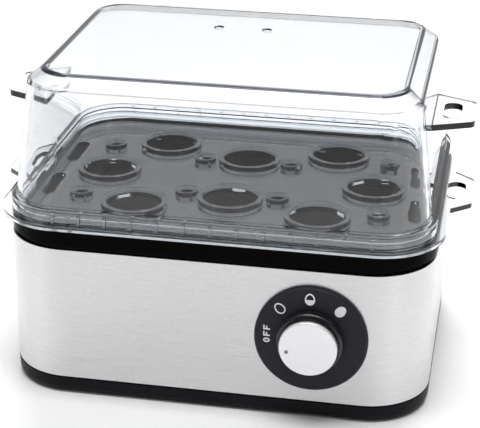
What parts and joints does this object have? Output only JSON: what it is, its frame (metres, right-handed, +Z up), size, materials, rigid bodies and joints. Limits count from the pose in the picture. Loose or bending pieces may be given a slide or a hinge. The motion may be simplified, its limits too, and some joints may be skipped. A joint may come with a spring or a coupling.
{
  "type": "egg boiler",
  "caption": "Countertop electric egg boiler: steel-clad base with a heated water pan and front dial, clear tray with ringed egg seats, and a clear steam lid.",
  "frame": {"origin": "on the table under the middle of the whole appliance, knob and tabs included", "axes": "+Z up, +X to the right as seen from the dial, -Y towards the user"},
  "size_m": [0.2128, 0.159, 0.1438],
  "materials": {
    "black_matte": "satin",
    "brushed_steel": "brushed along the wall",
    "black_gloss": "gloss",
    "screw_steel": "plain",
    "silicone": "matte",
    "pan_coating": "non-stick coating",
    "aluminium": "mill finish",
    "heater_sheath": "oxidised sheath",
    "ceramic": "matte",
    "fuse_sleeve": "matte",
    "board_green": "solder mask",
    "part_black": "satin",
    "part_yellow": "satin",
    "part_green": "satin",
    "dial_black": "satin",
    "mark_white": "printed",
    "knob_black": "gloss",
    "knob_silver": "satin silver",
    "dot_grey": "satin",
    "clear_tray": "clear",
    "clear_lid": "clear",
    "foot_rubber": "matte",
    "blade_brass": "plain"
  },
  "bodies": {
    "base": {"bottom_cover": "black_matte", "steel_sleeve": "brushed_steel", "top_rim": "black_gloss", "cover_screws": "screw_steel", "pan_seal": "silicone", "water_pan": "pan_coating", "heat_spreader": "aluminium", "heater_loop": "heater_sheath", "heater_clamp": "screw_steel", "clamp_studs": "screw_steel", "clamp_nuts": "screw_steel", "dry_cutout": "ceramic", "thermal_fuse": "fuse_sleeve", "fuse_clip": "screw_steel", "heat_shield": "aluminium", "shield_screws": "screw_steel", "control_board": "board_green", "board_screws": "screw_steel", "relay": "part_black", "supply_block": "part_yellow", "terminal_block": "part_green", "buzzer": "part_black", "rotary_switch": "part_black", "panel_nut": "screw_steel", "dial_plate": "dial_black", "mark_off": "mark_white", "mark_soft": "mark_white", "mark_medium": "mark_white", "mark_hard": "mark_white", "foot_front_left": "foot_rubber", "foot_front_right": "foot_rubber", "foot_rear_left": "foot_rubber", "foot_rear_right": "foot_rubber", "heater_blade_left": "blade_brass", "heater_blade_right": "blade_brass"},
    "knob": {"knob_grip": "knob_black", "knob_cap": "knob_silver", "knob_dot": "dot_grey", "knob_shaft": "screw_steel"},
    "tray": {"egg_tray": "clear_tray"},
    "lid": {"lid": "clear_lid"}
  },
  "joints": [
    {"name": "knob_turn", "type": "hinge", "parent": "base", "child": "knob", "pos_m": [0.0443, -0.0757, 0.0392], "axis": [0, 1, 0], "range_deg": [0, 135]},
    {"name": "tray_lift", "type": "slide", "parent": "base", "child": "tray", "axis": [0, 0, 1], "range_m": [0, 0.1]},
    {"name": "lid_lift", "type": "slide", "parent": "tray", "child": "lid", "axis": [0, 0, 1], "range_m": [0, 0.1]}
  ]
}
